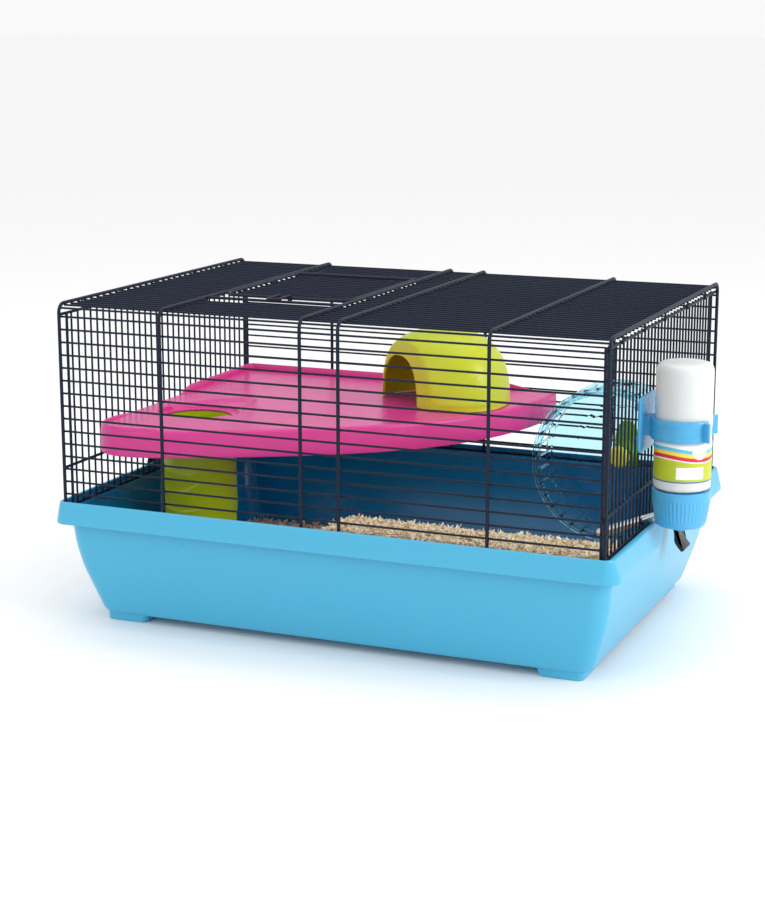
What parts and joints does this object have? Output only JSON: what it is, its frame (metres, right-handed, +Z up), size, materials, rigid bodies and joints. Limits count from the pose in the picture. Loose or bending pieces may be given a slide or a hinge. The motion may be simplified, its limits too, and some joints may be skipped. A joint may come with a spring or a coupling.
{
  "type": "hamster cage",
  "caption": "Wire hamster cage on a deep blue tray, with a pink deck, climbing tube, yellow house, clear running wheel, water bottle, top door and end latches.",
  "frame": {"origin": "on the floor, under the middle of the tray", "axes": "+X along the length to the bottle end, +Y to the back, +Z up"},
  "size_m": [0.5648, 0.362, 0.2873],
  "materials": {
    "blue_tray": "glossy",
    "wood_shavings": "matt",
    "painted_wire": "satin",
    "pink_deck": "satin",
    "lime_plastic": "satin",
    "yellow_plastic": "satin",
    "clear_wheel": "clear",
    "steel": "polished",
    "blue_fitting": "glossy",
    "seal": "matt",
    "bottle": "frosted",
    "label": "glossy",
    "black_plastic": "satin",
    "grey_pad": "matt"
  },
  "bodies": {
    "tray": {"tray": "blue_tray", "bedding": "wood_shavings"},
    "cage": {"hoop_1": "painted_wire", "hoop_2": "painted_wire", "hoop_3": "painted_wire", "hoop_4": "painted_wire", "hoop_5": "painted_wire", "hoop_6": "painted_wire", "base_rails": "painted_wire", "front_wires": "painted_wire", "back_wires": "painted_wire", "top_wires": "painted_wire", "left_end_wires": "painted_wire", "left_end_rails": "painted_wire", "right_end_wires": "painted_wire", "right_end_rails": "painted_wire", "deck": "pink_deck", "climbing_tube": "lime_plastic", "wheel_bracket": "lime_plastic", "wheel_axle": "steel", "bottle_holder": "blue_fitting", "bottle_cap": "blue_fitting", "cap_seal": "seal", "spout_tube": "steel"},
    "top_door": {"door_frame": "painted_wire", "door_wires": "painted_wire", "door_hinge_loops": "painted_wire"},
    "door_latch": {"door_latch_loop": "painted_wire"},
    "house": {"house": "yellow_plastic"},
    "wheel": {"wheel_ring": "clear_wheel", "wheel_rungs": "clear_wheel", "wheel_disc": "clear_wheel", "wheel_hub_cap": "yellow_plastic"},
    "bottle": {"bottle_shell": "bottle", "bottle_label": "label"},
    "spout_ball": {"spout_ball": "steel"},
    "left_latch": {"left_latch_lever": "black_plastic", "left_latch_pad": "grey_pad"},
    "right_latch": {"right_latch_lever": "black_plastic", "right_latch_pad": "grey_pad"}
  },
  "joints": [
    {"name": "cage_lift", "type": "slide", "parent": "tray", "child": "cage", "axis": [0, 0, 1], "range_m": [0, 0.2]},
    {"name": "door_swing", "type": "hinge", "parent": "cage", "child": "top_door", "pos_m": [0, 0.09, 0.284], "axis": [-1, 0, 0], "range_deg": [0, 110]},
    {"name": "door_latch_flip", "type": "hinge", "parent": "top_door", "child": "door_latch", "pos_m": [-0.081, -0.068, 0.284], "axis": [-1, 0, 0], "range_deg": [0, 80]},
    {"name": "house_lift", "type": "slide", "parent": "cage", "child": "house", "axis": [0, 0, 1], "range_m": [0, 0.025]},
    {"name": "wheel_spin", "type": "hinge", "parent": "cage", "child": "wheel", "pos_m": [0.163, 0.151, 0.12], "axis": [0, 1, 0], "continuous": true},
    {"name": "bottle_twist", "type": "hinge", "parent": "cage", "child": "bottle", "pos_m": [0.2715, -0.0525, 0.2], "axis": [0, 0, 1], "range_deg": [0, 540]},
    {"name": "spout_ball_push", "type": "slide", "parent": "cage", "child": "spout_ball", "axis": [0.9278, 0, 0.373], "range_m": [0, 0.002]},
    {"name": "left_latch_swing", "type": "hinge", "parent": "cage", "child": "left_latch", "pos_m": [-0.2404, 0, 0.142], "axis": [0, 1, 0], "range_deg": [0, 85]},
    {"name": "right_latch_swing", "type": "hinge", "parent": "cage", "child": "right_latch", "pos_m": [0.2404, 0, 0.142], "axis": [0, -1, 0], "range_deg": [0, 85]}
  ]
}
